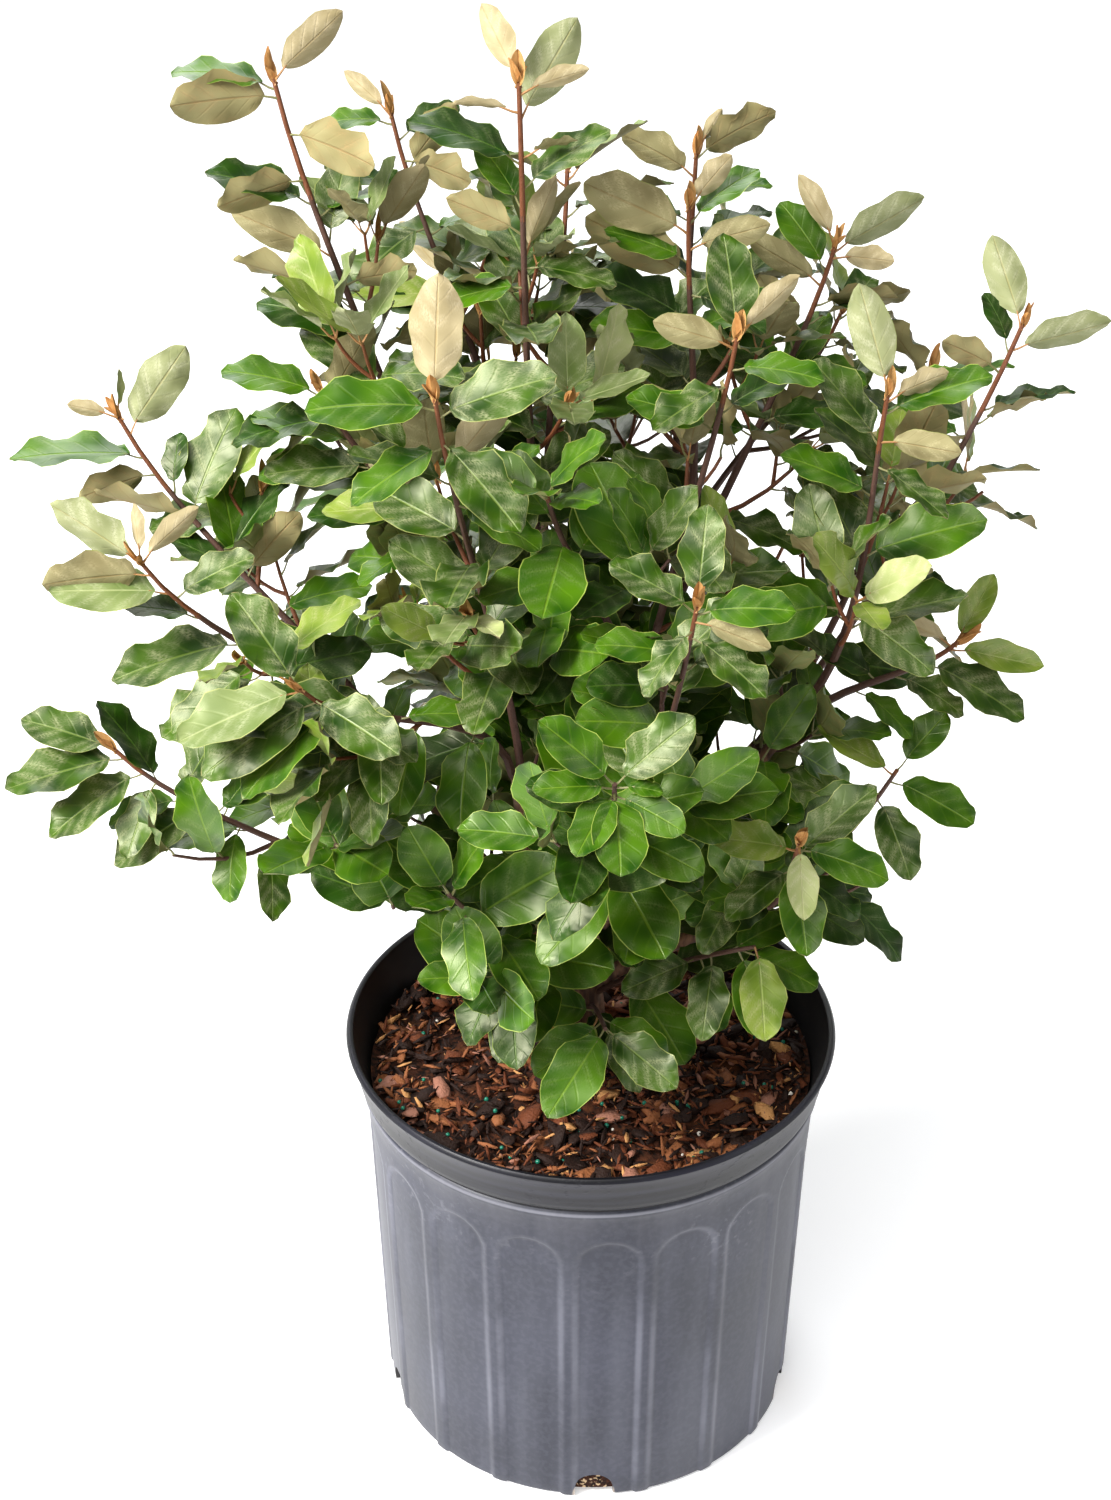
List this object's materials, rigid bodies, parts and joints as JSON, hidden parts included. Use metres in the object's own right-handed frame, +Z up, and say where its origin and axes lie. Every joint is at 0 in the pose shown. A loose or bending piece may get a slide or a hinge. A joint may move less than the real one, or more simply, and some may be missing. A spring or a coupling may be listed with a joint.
{
  "type": "potted elaeagnus",
  "caption": "Bushy evergreen shrub with leafy upright shoots, rooted in bark mix in a round black-grey plastic nursery pot with a rolled rim and arched wall panels.",
  "frame": {"origin": "middle of the pot's flat underside, where it stands on the ground", "axes": "+Z up, -Y towards the viewer of the picture, +X to that viewer's right"},
  "size_m": [0.5387, 0.4848, 0.8098],
  "materials": {
    "pot": "matt grey-black moulded plastic, lightly scuffed",
    "potting_mix": "loose moist bark chips",
    "bark": "fine rough brown bark",
    "foliage": "glossy green leaves with a silvery scurf"
  },
  "bodies": {
    "root": {"bough_back": "bark", "bough_back_low": "bark", "bough_back_right": "bark", "bough_front": "bark", "bough_front_left": "bark", "bough_leader": "bark", "bough_left": "bark", "bough_left_low": "bark", "bough_right": "bark", "bough_right_long": "bark", "bough_right_low": "bark", "bough_upper_back": "bark", "bough_upper_front": "bark", "bough_upper_left": "bark", "bough_upper_right": "bark", "foliage_back": "foliage", "foliage_back_high": "foliage", "foliage_back_left": "foliage", "foliage_back_low": "foliage", "foliage_back_mid": "foliage", "foliage_back_right": "foliage", "foliage_back_skirt": "foliage", "foliage_centre": "foliage", "foliage_centre_left": "foliage", "foliage_centre_right": "foliage", "foliage_far_right": "foliage", "foliage_foot_front": "foliage", "foliage_foot_left": "foliage", "foliage_front_centre": "foliage", "foliage_front_mid": "foliage", "foliage_front_right": "foliage", "foliage_high_right": "foliage", "foliage_left_high": "foliage", "foliage_left_low": "foliage", "foliage_left_mid": "foliage", "foliage_left_skirt": "foliage", "foliage_left_tip": "foliage", "foliage_left_upper": "foliage", "foliage_low_left": "foliage", "foliage_low_right": "foliage", "foliage_right_back": "foliage", "foliage_right_long": "foliage", "foliage_right_low": "foliage", "foliage_right_skirt": "foliage", "foliage_top_centre": "foliage", "foliage_top_left": "foliage", "foliage_top_left_back": "foliage", "foliage_top_right": "foliage", "foliage_top_right_back": "foliage", "pot": "pot", "potting_mix": "potting_mix", "trunk": "bark"}
  },
  "joints": []
}
